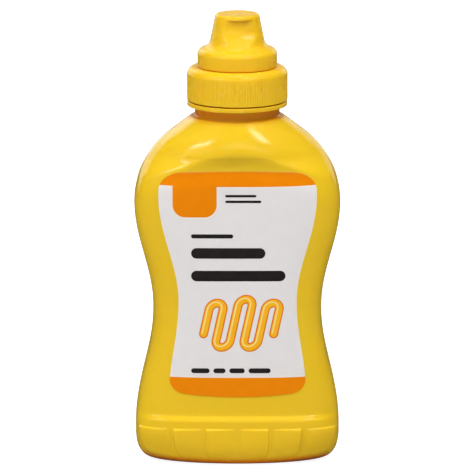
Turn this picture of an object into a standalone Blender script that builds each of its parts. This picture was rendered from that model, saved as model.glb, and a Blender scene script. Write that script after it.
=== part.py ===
"""A yellow squeeze bottle for table mustard, shut: body, tamper ring, screw collar, flip lid, two labels.

Units are millimetres in the dimensions below and metres in the model. +Z is up and the front label
faces -Y. The origin is the middle of the base, on the surface that the bottle stands on.
"""
import math

import bmesh
import bpy
from mathutils import Matrix, Vector

MM = 0.001
OBJECT_NAME = "mustard_squeeze_bottle"

# Body, as half widths (X) and half depths (Y) at named heights
BASE_HALF_WIDTH = 37.1
WAIST_HALF_WIDTH = 30.65
SHOULDER_HALF_WIDTH = 37.5
BODY_HALF_DEPTH = 20.0
FLARE_START_Z = 12.0
WAIST_Z = 55.5
SHOULDER_Z = 95.2
FLARE_POWER = 1.08
SHOULDER_ARC_RADIUS = 32.6
SHOULDER_SLOPE_DEG = 37.0

# How square the section is: 2 is an ellipse, more is squarer
FOOT_SQUARENESS = 2.04
BODY_SQUARENESS = 3.9
DOME_SQUARENESS = 2.1
SQUARE_FROM_Z = 102.0

# Rounding between the base and the wall
FOOT_HEIGHT = 10.2
FOOT_INSET = 6.3
FOOT_POWER = 2.3

# Flat-fronted label panel, front and back, with a ledge below it and the dome's lip above it
PANEL_HALF_DEPTH = 18.75
PANEL_SOFTNESS = 1.0
PANEL_LEAN = 0.5
LEAN_FROM_Z = 106.0
BUMPER_TOP_Z = 16.9
LEDGE_TOP_Z = 19.9
LIP_Z = 114.3
LIP_FULL_Z = 118.6
LIP_POWER = 0.6
LIP_ARCH = 0.0036

# Raised grip pads round the foot of the front and the back
PAD_PITCH = 12.1
PAD_START = 1.4
PAD_END = 11.0
PADS_PER_SIDE = 3
PAD_STEP = 0.35
PAD_INNER_RISE = 0.15
PAD_OUTER_RISE = 0.6
PAD_FOOT_Z = 2.5
PAD_FULL_Z = 5.5
PAD_EDGE_Z = 13.3
PAD_TOP_Z = 14.6

# Dome and neck
NECK_ROOT_Z = 126.6
NECK_ROOT_RADIUS = 16.3
NECK_Z = 127.4
NECK_RADIUS = 15.3
NECK_TOP_Z = 132.6
DOME_POWER = 1.8

# Closure
GAP = 0.3
CLOSURE_TURN_DEG = 8.3
RING_BOTTOM_Z = 130.8
RING_TOP_Z = 132.5
RING_RADIUS = 18.2
RING_ROUNDING = 0.4
COLLAR_BOTTOM_Z = NECK_TOP_Z + GAP
COLLAR_TOP_Z = 145.0
COLLAR_RADIUS = 18.3
COLLAR_ROUNDING = 2.8
RIB_COUNT = 120
RIB_DEPTH = 0.25
RIB_BOTTOM_Z = 133.8
RIB_TOP_Z = 141.2
LID_BOTTOM_Z = COLLAR_TOP_Z + GAP
DRUM_RADIUS = 14.45
DRUM_TOP_Z = 151.1
DRUM_ROUNDING = 2.2
SPOUT_ROOT_RADIUS = 10.2
SPOUT_ROOT_Z = 152.9
SPOUT_ROOT_ROUNDING = 3.8
SPOUT_TOP_RADIUS = 7.9
SPOUT_TOP_ROUNDING = 1.0
TOTAL_HEIGHT = 164.4
SCOOP_TOP_Z = 163.1
SCOOP_AXIS_Z = 161.0
SCOOP_RADIUS = 10.0
SCOOP_DEPTH_Y = -7.3
SCOOP_FLATNESS = 25.0
SCOOP_SOFTNESS = 0.35
SCOOP_EDGE = 0.1
HINGE_WIDTH = 9.0
HINGE_ROOT = 11.5
HINGE_REACH = 16.3
HINGE_HEIGHT = 2.6
HINGE_ROUNDING = 0.6

# Labels
LABEL_THICKNESS = 0.25
LABEL_TOP_Z = 109.4
LABEL_WIDE_Z = 100.0
LABEL_WAIST_Z = 61.0
LABEL_BOTTOM_Z = 25.85
LABEL_TOP_HALF_WIDTH = 28.75
LABEL_WAIST_HALF_WIDTH = 21.47
LABEL_FOOT_HALF_WIDTH = 25.0
LABEL_TOP_CORNER = (9.0, 7.0)
LABEL_BOTTOM_CORNER = (6.2, 5.2)
LABEL_TOP_SAG = 0.0009
LABEL_BOTTOM_SAG = 0.0032

# Fineness of the faceted surfaces
SIDE_COLUMNS = 6
FOOT_STEPS = 6
WALL_STEPS = 10
SHOULDER_STEPS = 3
LIP_STEPS = 3
LIP_ROW = 1.0
DOME_STEPS = 4
SCOOP_STEPS = 4
RING_SIDES = 48
LID_SIDES = 56
LABEL_COLUMNS = 8
LABEL_ROWS = 8
CORNER_STEPS = 4


def ease(t):
    """Rises smoothly from 0 to 1 as t goes from 0 to 1."""
    t = min(1.0, max(0.0, t))
    return t * t * (3.0 - 2.0 * t)


def ramp(value, start, end):
    """The share of the way from start to end, kept between 0 and 1."""
    return min(1.0, max(0.0, (value - start) / (end - start)))


def mix(low, high, share):
    return low + (high - low) * share


def soft_min(first, second, width):
    """The lesser of two depths, blended over a width where they are nearly equal."""
    overlap = max(width - abs(first - second), 0.0) / width
    return min(first, second) - overlap * overlap * width / 4.0


def half_width(z):
    """Half the bottle's width at a height: base, waist, shoulder arc, straight slope, neck."""
    if z <= WAIST_Z:
        share = ramp(z, FLARE_START_Z, WAIST_Z) ** FLARE_POWER
        return mix(BASE_HALF_WIDTH, WAIST_HALF_WIDTH, (1.0 - math.cos(math.pi * share)) / 2.0)
    if z <= SHOULDER_Z:
        share = ramp(z, WAIST_Z, SHOULDER_Z) ** FLARE_POWER
        return mix(WAIST_HALF_WIDTH, SHOULDER_HALF_WIDTH, (1.0 - math.cos(math.pi * share)) / 2.0)
    if z >= NECK_ROOT_Z:
        return mix(half_width(NECK_ROOT_Z - 0.001), NECK_RADIUS, ramp(z, NECK_ROOT_Z, NECK_Z))
    slope = math.radians(SHOULDER_SLOPE_DEG)
    rise = z - SHOULDER_Z
    arc_rise = SHOULDER_ARC_RADIUS * math.cos(slope)
    if rise <= arc_rise:
        return SHOULDER_HALF_WIDTH - SHOULDER_ARC_RADIUS + math.sqrt(SHOULDER_ARC_RADIUS**2 - rise**2)
    arc_end = SHOULDER_HALF_WIDTH - SHOULDER_ARC_RADIUS * (1.0 - math.sin(slope))
    return arc_end - (rise - arc_rise) / math.tan(slope)


def half_depth(z):
    """Half the bottle's depth at a height, before the label panels are let in."""
    if z <= LIP_Z:
        return BODY_HALF_DEPTH
    if z >= NECK_ROOT_Z:
        return mix(NECK_ROOT_RADIUS, NECK_RADIUS, ramp(z, NECK_ROOT_Z, NECK_Z))
    return mix(BODY_HALF_DEPTH, NECK_ROOT_RADIUS, ramp(z, LIP_Z, NECK_ROOT_Z) ** DOME_POWER)


def squareness(z):
    """The exponent of the section's superellipse at a height."""
    if z <= SQUARE_FROM_Z:
        return mix(FOOT_SQUARENESS, BODY_SQUARENESS, ramp(z, 0.0, FLARE_START_Z))
    if z <= LIP_Z:
        return mix(BODY_SQUARENESS, DOME_SQUARENESS, ease(ramp(z, SQUARE_FROM_Z, LIP_Z)))
    return mix(DOME_SQUARENESS, 2.0, ramp(z, LIP_Z, NECK_ROOT_Z))


def foot_inset(z):
    """How far the wall has drawn in towards the base at a height."""
    share = 1.0 - ramp(z, 0.0, FOOT_HEIGHT)
    return FOOT_INSET * (1.0 - (1.0 - share**FOOT_POWER) ** (1.0 / FOOT_POWER))


def section_share(x, z, power):
    """A section's depth at a distance from its middle, as a share of its depth there."""
    share = min(1.0, abs(x) / half_width(z))
    return (1.0 - share**power) ** (1.0 / power)


def panel_depth(x, z):
    """The depth of the label panel at a place, or a depth beyond the wall below and above it."""
    arched_z = z + LIP_ARCH * x * x
    ledge = 1.0 - ease(ramp(z, BUMPER_TOP_Z, LEDGE_TOP_Z))
    lip = ramp(arched_z, LIP_Z, LIP_FULL_Z) ** LIP_POWER
    panel = PANEL_HALF_DEPTH - PANEL_LEAN * ease(ramp(arched_z, LEAN_FROM_Z, LIP_Z))
    depth = mix(panel, BODY_HALF_DEPTH + PANEL_SOFTNESS, ledge + lip)
    return depth * section_share(x, z, BODY_SQUARENESS)


def let_in(depth, x, z):
    """The wall's depth once the panel is let in; the blend narrows where the wall is shallow."""
    softness = PANEL_SOFTNESS * ramp(depth, 0.0, PANEL_HALF_DEPTH / 3.0)
    return soft_min(depth, panel_depth(x, z), softness) if softness > 0.0 else depth


def wall_depth(x, z):
    """The distance of the wall from the middle plane at a place on the front or the back."""
    return let_in(half_depth(z) * section_share(x, z, squareness(z)), x, z)


def pad_rise(x, z):
    """How far a grip pad stands out of the wall at a place."""
    offset = abs(x)
    pad = math.floor(offset / PAD_PITCH)
    along = offset - pad * PAD_PITCH
    if pad >= PADS_PER_SIDE or not PAD_START <= along <= PAD_END:
        return 0.0
    rise = mix(PAD_INNER_RISE, PAD_OUTER_RISE, ramp(along, PAD_START, PAD_END))
    return rise * ease(ramp(z, PAD_FOOT_Z, PAD_FULL_Z)) * (1.0 - ramp(z, PAD_EDGE_Z, PAD_TOP_Z))


def section_angle(x):
    """The section's own angle for a distance from the middle, at the height of the pads."""
    share = x / BASE_HALF_WIDTH
    across = (1.0 - share**BODY_SQUARENESS) ** (1.0 / BODY_SQUARENESS)
    return math.atan2(across, share)


def quarter_stations():
    """Pairs of section angle and distance at the pads' height, from the +X side to the middle."""
    outermost = (PADS_PER_SIDE - 1) * PAD_PITCH + PAD_END + PAD_STEP
    corner = section_angle(outermost)
    stations = [(corner * i / SIDE_COLUMNS, None) for i in range(SIDE_COLUMNS)]
    for pad in reversed(range(PADS_PER_SIDE)):
        inner = pad * PAD_PITCH + PAD_START
        outer = pad * PAD_PITCH + PAD_END
        for x in (outer + PAD_STEP, outer, (inner + outer) / 2.0, inner, inner - PAD_STEP):
            stations.append((section_angle(x), x))
    return stations


def full_stations():
    """The quarter's stations carried all the way round, with one in the middle of the front and back."""
    quarter = quarter_stations()
    middle = [(math.pi / 2.0, 0.0)]
    first = quarter + middle
    second = [(math.pi - angle, x) for angle, x in reversed(quarter)]
    half = first + second[:-1]
    return half + [(angle + math.pi, x) for angle, x in half]


def wall_ring(z, stations):
    """One ring of points round the bottle at a height."""
    inset = foot_inset(z)
    width = half_width(z) - inset
    depth = half_depth(z) - inset
    power = squareness(z)
    ring = []
    for angle, pad_x in stations:
        cosine = math.cos(angle)
        sine = math.sin(angle)
        radius = (abs(cosine) ** power + abs(sine) ** power) ** (-1.0 / power)
        x = width * radius * cosine
        y = math.copysign(let_in(depth * radius * abs(sine), x, z), sine) if abs(sine) > 1e-9 else 0.0
        if pad_x is not None:
            normal = Vector((abs(cosine) ** (power - 1.0) / width, abs(sine) ** (power - 1.0) / depth))
            normal.normalize()
            rise = pad_rise(pad_x, z)
            x += math.copysign(normal.x * rise, cosine)
            y += math.copysign(normal.y * rise, sine)
        ring.append((x, y, z))
    return ring


def spread(start, end, count):
    """Heights from start to end, without start itself."""
    return [mix(start, end, (i + 1) / count) for i in range(count)]


def wall_heights():
    """The heights of the bottle's rings, closer together where the wall turns."""
    turns = [math.pi / 2.0 * i / FOOT_STEPS for i in range(FOOT_STEPS + 1)]
    heights = [FOOT_HEIGHT * (1.0 - math.cos(turn)) for turn in turns]
    heights += [PAD_EDGE_Z, PAD_TOP_Z, BUMPER_TOP_Z, LEDGE_TOP_Z]
    heights += spread(LEDGE_TOP_Z, SQUARE_FROM_Z, WALL_STEPS)
    heights += spread(SQUARE_FROM_Z, LIP_Z - LIP_ROW, SHOULDER_STEPS)
    heights += [LIP_Z - LIP_ROW / 2.0, LIP_Z]
    heights += [mix(LIP_Z, LIP_FULL_Z, (i / LIP_STEPS) ** 2.0) for i in range(1, LIP_STEPS + 1)]
    heights += spread(LIP_FULL_Z, NECK_ROOT_Z, DOME_STEPS)
    heights += [NECK_Z, NECK_TOP_Z]
    return heights


def rounded_profile(corners, steps):
    """Points along a line through corners (radius, height, rounding), each rounded by an arc."""
    points = []
    for i, (radius, height, rounding) in enumerate(corners):
        here = Vector((radius, height))
        if rounding == 0.0:
            points.append(here)
            continue
        before = (Vector(corners[i - 1][:2]) - here).normalized()
        after = (Vector(corners[i + 1][:2]) - here).normalized()
        half_angle = before.angle(after) / 2.0
        centre = here + (before + after).normalized() * rounding / math.sin(half_angle)
        start = here + before * rounding / math.tan(half_angle) - centre
        end = here + after * rounding / math.tan(half_angle) - centre
        sweep = start.angle_signed(end)
        for step in range(steps + 1):
            points.append(centre + Matrix.Rotation(-sweep * step / steps, 2) @ start)
    return points


def make_material(name, colour, roughness):
    """A plain plastic or paper finish; the colour is linear."""
    material = bpy.data.materials.new(name)
    material.use_nodes = True
    shader = material.node_tree.nodes["Principled BSDF"]
    shader.inputs["Base Color"].default_value = (*colour, 1.0)
    shader.inputs["Roughness"].default_value = roughness
    shader.inputs["Metallic"].default_value = 0.0
    return material


def add_object(name, mesh, collection, material=None):
    made = bpy.data.objects.new(name, mesh)
    collection.objects.link(made)
    if material is not None:
        mesh.materials.append(material)
    return made


def mesh_from_rings(name, rings):
    """A closed skin over rings of equal count, with flat ends."""
    bm = bmesh.new()
    loops = [[bm.verts.new(Vector(point) * MM) for point in ring] for ring in rings]
    for lower, upper in zip(loops, loops[1:]):
        for i in range(len(lower)):
            following = (i + 1) % len(lower)
            bm.faces.new((lower[i], lower[following], upper[following], upper[i]))
    bm.faces.new(list(reversed(loops[0])))
    bm.faces.new(loops[-1])
    mesh = bpy.data.meshes.new(name)
    bm.to_mesh(mesh)
    bm.free()
    return mesh


def lathe(name, profile, steps, collection, material):
    """A turned piece: the profile runs from the top of its outer side down, in the XZ plane."""
    mesh = bpy.data.meshes.new(name)
    points = [(radius * MM, 0.0, height * MM) for radius, height in profile]
    mesh.from_pydata(points, [(i, i + 1) for i in range(len(points) - 1)], [])
    turned = add_object(name, mesh, collection, material)
    screw = turned.modifiers.new("turn", "SCREW")
    screw.axis = "Z"
    screw.angle = math.tau
    screw.steps = steps
    screw.render_steps = steps
    screw.use_merge_vertices = True
    screw.merge_threshold = 0.00001
    screw.use_smooth_shade = True
    return turned


def applied_mesh(source):
    """The mesh of an object with its modifiers worked in."""
    bpy.context.view_layer.update()
    return bpy.data.meshes.new_from_object(source.evaluated_get(bpy.context.evaluated_depsgraph_get()))


def apply_modifiers(target):
    """Swaps an object's mesh for its evaluated one and drops the modifiers."""
    mesh = applied_mesh(target)
    target.modifiers.clear()
    target.data = mesh


def shade_round(target, sharp_deg=35.0):
    target.data.shade_smooth()
    target.data.set_sharp_from_angle(angle=math.radians(sharp_deg))


def combine(target, other, operation):
    modifier = target.modifiers.new(operation.lower(), "BOOLEAN")
    modifier.operation = operation
    modifier.solver = "EXACT"
    modifier.object = other


def make_bottle(collection, material):
    stations = full_stations()
    mesh = mesh_from_rings("bottle", [wall_ring(z, stations) for z in wall_heights()])
    bottle = add_object("bottle", mesh, collection, material)
    shade_round(bottle)
    return bottle


def make_tamper_ring(collection, material):
    """The breakable band left under the collar, loose on the neck."""
    inner = NECK_RADIUS + GAP
    corners = [
        (inner, RING_BOTTOM_Z, 0.0),
        (inner, RING_TOP_Z, 0.0),
        (RING_RADIUS, RING_TOP_Z, RING_ROUNDING),
        (RING_RADIUS, RING_BOTTOM_Z, RING_ROUNDING),
        (inner, RING_BOTTOM_Z, 0.0),
    ]
    return lathe("tamper_ring", rounded_profile(corners, 2), RING_SIDES, collection, material)


def make_collar(collection, material):
    """The screw collar, with fine grip ribs round its side."""
    corners = [
        (0.0, COLLAR_TOP_Z, 0.0),
        (COLLAR_RADIUS, COLLAR_TOP_Z, COLLAR_ROUNDING),
        (COLLAR_RADIUS, RIB_TOP_Z, 0.0),
        (COLLAR_RADIUS, RIB_BOTTOM_Z, 0.0),
        (COLLAR_RADIUS, COLLAR_BOTTOM_Z, 0.0),
        (0.0, COLLAR_BOTTOM_Z, 0.0),
    ]
    columns = 2 * RIB_COUNT
    collar = lathe("collar", rounded_profile(corners, 3), columns, collection, material)
    apply_modifiers(collar)
    for vertex in collar.data.vertices:
        column = round(math.atan2(vertex.co.y, vertex.co.x) / (math.tau / columns))
        middle_distance = abs(vertex.co.z - (RIB_BOTTOM_Z + RIB_TOP_Z) / 2.0 * MM)
        on_ribs = middle_distance < (RIB_TOP_Z - RIB_BOTTOM_Z + GAP) / 2.0 * MM
        if on_ribs and column % 2:
            vertex.co.xy *= (COLLAR_RADIUS - RIB_DEPTH) / COLLAR_RADIUS
    collar.rotation_euler.z = math.radians(CLOSURE_TURN_DEG)
    return collar


def scooped(x, y, z):
    """The place of a point of the lid's front once the thumb scoop is hollowed out."""
    drop = SCOOP_AXIS_Z - z
    if y > 0.0 or z > SCOOP_TOP_Z or drop > SCOOP_RADIUS:
        return y
    sweep = SCOOP_RADIUS - math.sqrt(SCOOP_RADIUS**2 - max(drop, 0.0) ** 2)
    limit = sweep - SCOOP_DEPTH_Y - x * x / (2.0 * SCOOP_FLATNESS)
    return -soft_min(-y, limit, SCOOP_SOFTNESS)


def scoop_rows(profile):
    """A profile with extra points down the spout cover, for the scoop to shape."""
    rows = []
    for here, following in zip(profile, profile[1:] + profile[-1:]):
        rows.append(here)
        if here.y > SCOOP_TOP_Z > following.y:
            heights = [SCOOP_TOP_Z + SCOOP_EDGE, SCOOP_TOP_Z]
            heights += spread(SCOOP_TOP_Z, following.y, SCOOP_STEPS)[:-1]
            rows += [here.lerp(following, ramp(z, here.y, following.y)) for z in heights]
    return rows


def make_hinge_lug(collection):
    """The block behind the lid that carries its moulded hinge."""
    bm = bmesh.new()
    size = Vector((HINGE_WIDTH, HINGE_REACH - HINGE_ROOT, HINGE_HEIGHT)) * MM
    centre = Vector((0.0, (HINGE_REACH + HINGE_ROOT) / 2.0, LID_BOTTOM_Z + HINGE_HEIGHT / 2.0)) * MM
    bmesh.ops.create_cube(bm, size=1.0, matrix=Matrix.Translation(centre) @ Matrix.Diagonal((*size, 1.0)))
    mesh = bpy.data.meshes.new("hinge_lug")
    bm.to_mesh(mesh)
    bm.free()
    lug = add_object("hinge_lug", mesh, collection)
    bevel = lug.modifiers.new("soft edges", "BEVEL")
    bevel.width = HINGE_ROUNDING * MM
    bevel.segments = 2
    return lug


def make_lid(collection, cutters, material):
    """The shut flip lid: a drum that runs up into a spout cover, with a scoop for the thumb."""
    corners = [
        (0.0, TOTAL_HEIGHT, 0.0),
        (SPOUT_TOP_RADIUS, TOTAL_HEIGHT, SPOUT_TOP_ROUNDING),
        (SPOUT_ROOT_RADIUS, SPOUT_ROOT_Z, SPOUT_ROOT_ROUNDING),
        (DRUM_RADIUS, DRUM_TOP_Z, DRUM_ROUNDING),
        (DRUM_RADIUS, LID_BOTTOM_Z, 0.0),
        (0.0, LID_BOTTOM_Z, 0.0),
    ]
    lid = lathe("lid", scoop_rows(rounded_profile(corners, 4)), LID_SIDES, collection, material)
    apply_modifiers(lid)
    for vertex in lid.data.vertices:
        x, y, z = vertex.co / MM
        vertex.co.y = scooped(x, y, z) * MM
    combine(lid, make_hinge_lug(cutters), "UNION")
    apply_modifiers(lid)
    shade_round(lid)
    lid.rotation_euler.z = math.radians(CLOSURE_TURN_DEG)
    return lid


def label_half_width(z):
    """Half the label's width at a height, before its corners are rounded."""
    if z >= LABEL_WAIST_Z:
        share = ramp(z, LABEL_WAIST_Z, LABEL_WIDE_Z)
        widest = LABEL_TOP_HALF_WIDTH
    else:
        share = 1.0 - ramp(z, LABEL_BOTTOM_Z, LABEL_WAIST_Z)
        widest = LABEL_FOOT_HALF_WIDTH
    return mix(LABEL_WAIST_HALF_WIDTH, widest, (1.0 - math.cos(math.pi * share)) / 2.0)


def label_rows():
    """Pairs of height and half width up a label, with its corners rounded."""
    turns = [math.pi / 2.0 * i / CORNER_STEPS for i in range(CORNER_STEPS + 1)]
    low_width, low_height = LABEL_BOTTOM_CORNER
    high_width, high_height = LABEL_TOP_CORNER
    low = LABEL_BOTTOM_Z + low_height
    high = LABEL_TOP_Z - high_height
    rows = [(low - low_height * math.cos(turn), low_width * (1.0 - math.sin(turn))) for turn in turns]
    rows += [(z, 0.0) for z in spread(low, high, LABEL_ROWS)]
    rows += [(high + high_height * math.sin(turn), high_width * (1.0 - math.cos(turn))) for turn in turns[1:]]
    return [(z, label_half_width(z) - corner) for z, corner in rows]


def sagged(x, z):
    """The height of a label's point: its lower edge rises and its upper edge falls to the sides."""
    upper = ramp(z, LABEL_WAIST_Z, LABEL_TOP_Z)
    lower = 1.0 - ramp(z, LABEL_BOTTOM_Z, LABEL_WAIST_Z)
    return z + (lower * LABEL_BOTTOM_SAG - upper * LABEL_TOP_SAG) * x * x


def make_label(name, facing, collection, material):
    """A label wrapped on the panel that faces -Y (facing -1) or +Y (facing 1)."""
    bm = bmesh.new()
    grid = []
    for z, reach in label_rows():
        row = []
        for i in range(LABEL_COLUMNS + 1):
            x = mix(-reach, reach, i / LABEL_COLUMNS)
            height = sagged(x, z)
            row.append(bm.verts.new(Vector((x, facing * (wall_depth(x, height) + GAP), height)) * MM))
        grid.append(row)
    for lower, upper in zip(grid, grid[1:]):
        for i in range(LABEL_COLUMNS):
            corners = (lower[i], lower[i + 1], upper[i + 1], upper[i])
            bm.faces.new(corners if facing < 0 else tuple(reversed(corners)))
    mesh = bpy.data.meshes.new(name)
    bm.to_mesh(mesh)
    bm.free()
    label = add_object(name, mesh, collection, material)
    shell = label.modifiers.new("thickness", "SOLIDIFY")
    shell.thickness = LABEL_THICKNESS * MM
    shell.offset = 1.0
    return label


def new_collection(name):
    collection = bpy.data.collections.new(name)
    bpy.context.scene.collection.children.link(collection)
    return collection


def hide_guides(collection):
    for guide in collection.objects:
        guide.hide_render = True
        guide.display_type = "WIRE"


def main():
    for existing in list(bpy.data.objects):
        bpy.data.objects.remove(existing, do_unlink=True)
    parts = new_collection(OBJECT_NAME)
    cutters = new_collection("cutters")
    bottle_yellow = make_material("bottle_yellow", (0.81, 0.48, 0.035), 0.3)
    closure_yellow = make_material("closure_yellow", (0.86, 0.52, 0.03), 0.28)
    label_stock = make_material("label_stock", (0.72, 0.71, 0.69), 0.35)
    make_bottle(parts, bottle_yellow)
    make_tamper_ring(parts, closure_yellow)
    make_collar(parts, closure_yellow)
    make_lid(parts, cutters, closure_yellow)
    make_label("front_label", -1.0, parts, label_stock)
    make_label("back_label", 1.0, parts, label_stock)
    hide_guides(cutters)


main()
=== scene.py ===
"""The looks of a yellow squeeze bottle for table mustard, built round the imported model.

Sizes below are millimetres and the scene is in metres. +Z is up and the front label faces -Y.
"""
import math

import bmesh
import bpy
from mathutils import Matrix, Vector


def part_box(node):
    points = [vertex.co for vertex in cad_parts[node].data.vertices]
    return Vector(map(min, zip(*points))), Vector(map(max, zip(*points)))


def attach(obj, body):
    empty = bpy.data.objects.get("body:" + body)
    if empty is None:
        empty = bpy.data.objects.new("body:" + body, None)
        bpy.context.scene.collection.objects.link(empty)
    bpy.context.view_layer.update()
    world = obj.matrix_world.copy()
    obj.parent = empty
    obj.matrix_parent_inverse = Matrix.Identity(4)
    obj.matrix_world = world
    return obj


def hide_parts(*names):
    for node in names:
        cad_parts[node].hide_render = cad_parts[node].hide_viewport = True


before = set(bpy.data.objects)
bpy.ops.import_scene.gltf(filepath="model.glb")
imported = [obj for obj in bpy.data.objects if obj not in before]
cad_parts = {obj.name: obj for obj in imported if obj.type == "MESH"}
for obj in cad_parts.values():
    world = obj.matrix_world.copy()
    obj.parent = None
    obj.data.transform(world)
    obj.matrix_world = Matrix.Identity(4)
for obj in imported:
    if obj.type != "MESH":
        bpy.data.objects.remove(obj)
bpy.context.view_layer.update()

MM = 0.001


def node_box(name):
    """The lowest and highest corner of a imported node, in millimetres."""
    low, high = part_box(name)
    return low / MM, high / MM


RING_LOW, RING_HIGH = node_box("tamper_ring")
COLLAR_LOW, COLLAR_HIGH = node_box("collar")
LID_LOW, LID_HIGH = node_box("lid")

# Body, as half widths (X) and half depths (Y) at named heights
BASE_HALF_WIDTH = 37.1
WAIST_HALF_WIDTH = 30.65
SHOULDER_HALF_WIDTH = 37.5
BODY_HALF_DEPTH = 20.0
FLARE_START_Z = 12.0
WAIST_Z = 55.5
SHOULDER_Z = 95.2
FLARE_POWER = 1.08
SHOULDER_ARC_RADIUS = 32.6
SHOULDER_SLOPE_DEG = 37.0

# How square the section is: 2 is an ellipse, more is squarer
FOOT_SQUARENESS = 2.04
BODY_SQUARENESS = 3.9
DOME_SQUARENESS = 2.1
NECK_SQUARENESS = 2.0
SQUARE_FROM_Z = 102.0

# Rounding between the base and the wall, and the shallow hollow under the base
FOOT_HEIGHT = 10.2
FOOT_INSET = 6.3
FOOT_POWER = 2.3
BASE_RIM = 3.0
BASE_HOLLOW = 0.6

# Rings under the base, from its middle out, each as (distance in from the base's edge, height)
BASE_RINGS = (
    (BASE_RIM + BASE_HOLLOW, BASE_HOLLOW),
    (BASE_RIM, 0.3 * BASE_HOLLOW),
    (BASE_RIM - 0.4, 0.0),
)

# Flat-fronted label panel, front and back, with a ledge below it and the dome's lip above it
PANEL_HALF_DEPTH = 18.75
PANEL_SOFTNESS = 1.0
SHALLOW_DEPTH = PANEL_HALF_DEPTH / 3.0
PANEL_LEAN = 0.6
LEAN_FROM_Z = 104.0
COVE_FROM_Z = 109.5
COVE_RISE = 1.25
BUMPER_TOP_Z = 16.0
LEDGE_TOP_Z = 19.0
LIP_Z = 114.3
LIP_FULL_Z = 118.6
LIP_POWER = 0.6
LIP_ARCH = 0.0036

# Raised grip pads round the foot of the front and the back
PAD_PITCH = 12.1
PAD_START = 1.4
PAD_END = 11.0
PADS_PER_SIDE = 3
PAD_STEP = 0.5
PAD_INNER_RISE = 0.15
PAD_OUTER_RISE = 0.8
PAD_FOOT_Z = 2.5
PAD_FULL_Z = 5.5
PAD_EDGE_Z = 13.6
PAD_TOP_Z = 14.3

# Dome and neck
NECK_ROOT_Z = 126.6
NECK_ROOT_RADIUS = 16.3
NECK_Z = 127.4
NECK_RADIUS = 15.3
NECK_TOP_Z = COLLAR_LOW.z - 0.05
# Heights over which painted shadow from the closure deepens the neck's tone
NECK_SHADE_FROM_Z = NECK_ROOT_Z - 1.0
NECK_SHADE_FULL_Z = NECK_Z + 0.5
DOME_POWER = 1.8

# The mould's parting line up both sides
SEAM_HEIGHT = 0.1
SEAM_HALF_WIDTH = 0.22

# Closure
CLOSURE_TURN_DEG = 8.3
RING_INNER_RADIUS = NECK_RADIUS + 0.3
RING_RADIUS = RING_HIGH.x
RING_ROUNDING = 0.4
COLLAR_RADIUS = COLLAR_HIGH.x
COLLAR_ROUNDING = 2.8
COLLAR_EDGE_ROUNDING = 0.3
RIB_COUNT = 120
RIB_DEPTH = 0.1
RIB_BOTTOM_Z = 133.8
RIB_TOP_Z = 141.2
RIB_FADE = 0.8
RIB_SIDE_REACH = 0.02
LID_BOTTOM_Z = COLLAR_HIGH.z + 0.1
DRUM_RADIUS = 14.45
DRUM_TOP_Z = 151.1
DRUM_ROUNDING = 2.2
DRUM_EDGE_ROUNDING = 0.25
SPOUT_ROOT_RADIUS = 10.2
SPOUT_ROOT_Z = 152.9
SPOUT_ROOT_ROUNDING = 3.8
SPOUT_TOP_RADIUS = 7.9
SPOUT_TOP_ROUNDING = 1.0
TOTAL_HEIGHT = LID_HIGH.z
SCOOP_TOP_Z = 163.1
SCOOP_AXIS_Z = 161.0
SCOOP_RADIUS = 10.0
SCOOP_DEPTH_Y = -7.1
SCOOP_FLATNESS = 25.0
SCOOP_SOFTNESS = 0.45
HINGE_WIDTH = 9.0
HINGE_ROOT = 11.5
HINGE_REACH = 16.3
HINGE_HEIGHT = 2.6
HINGE_ROUNDING = 0.6

# Labels
LABEL_TOP_Z = 109.4
LABEL_WIDE_Z = 100.0
LABEL_WAIST_Z = 61.0
LABEL_BOTTOM_Z = 25.85
LABEL_HALVES_MEET_Z = 60.0
LABEL_TOP_HALF_WIDTH = 28.75
LABEL_WAIST_HALF_WIDTH = 21.47
LABEL_FOOT_HALF_WIDTH = 25.0
LABEL_TOP_CORNER = (9.0, 7.0)
LABEL_BOTTOM_CORNER = (6.2, 5.2)
LABEL_TOP_SAG = 0.0009
LABEL_BOTTOM_SAG = 0.0032
LABEL_SHIFT = 0.12
LABEL_LIFT = 0.02
LABEL_THICKNESS = 0.12
PRINT_STEP = 0.03
PRINT_THICKNESS = 0.02
LABEL_GRID = 0.8

# Print on the front label
KEYLINE = 0.45
TOP_BAND_Z = 103.85
TOP_BAND_CURVE = 0.00045
BOTTOM_BAND_Z = 33.05
BOTTOM_BAND_CURVE = 0.00026
TAB_LEFT = -23.6
TAB_RIGHT = -7.6
TAB_BOTTOM_Z = 92.6
TAB_ROUNDING = 4.5
BOLD_BARS = ((-16.9, 10.1, 79.3, 3.9), (-16.9, 17.4, 70.9, 3.9))
LIGHT_BARS = (
    (-16.9, -1.6, 85.6, 1.5),
    (-4.5, 6.8, 100.5, 0.9),
    (-4.5, 8.6, 98.4, 0.9),
    (-16.9, -10.2, 35.7, 1.8),
    (-8.8, -4.4, 35.7, 1.8),
    (-3.0, 2.6, 35.7, 1.8),
    (4.0, 12.0, 35.7, 1.8),
)
WAVE_RUNS = 6
WAVE_SPARE_RUNS = 1.6
WAVE_END_SHARE = 0.55
WAVE_PITCH = 5.1
WAVE_CENTRE = (1.2, 53.2)
WAVE_HALF_HEIGHT = 9.2
WAVE_SLANT = 0.22
WAVE_WIDTHS = (3.3, 2.35, 0.5)
WAVE_SHINE_OFFSET = (-0.5, 0.35)

# Rows of bars on the back label, each cut back by one of a few lengths in turn
BACK_ROWS = 18
BACK_TOP_Z = 97.5
BACK_PITCH = 3.2
BACK_MARGIN = 4.5
BACK_BAR_HEIGHT = 1.1
BACK_CUT_SHARE = 0.12
BACK_LENGTHS = 4

# Each label's node, and the way it faces along Y
FRONT = ("front_label", -1)
BACK = ("back_label", 1)

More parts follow.
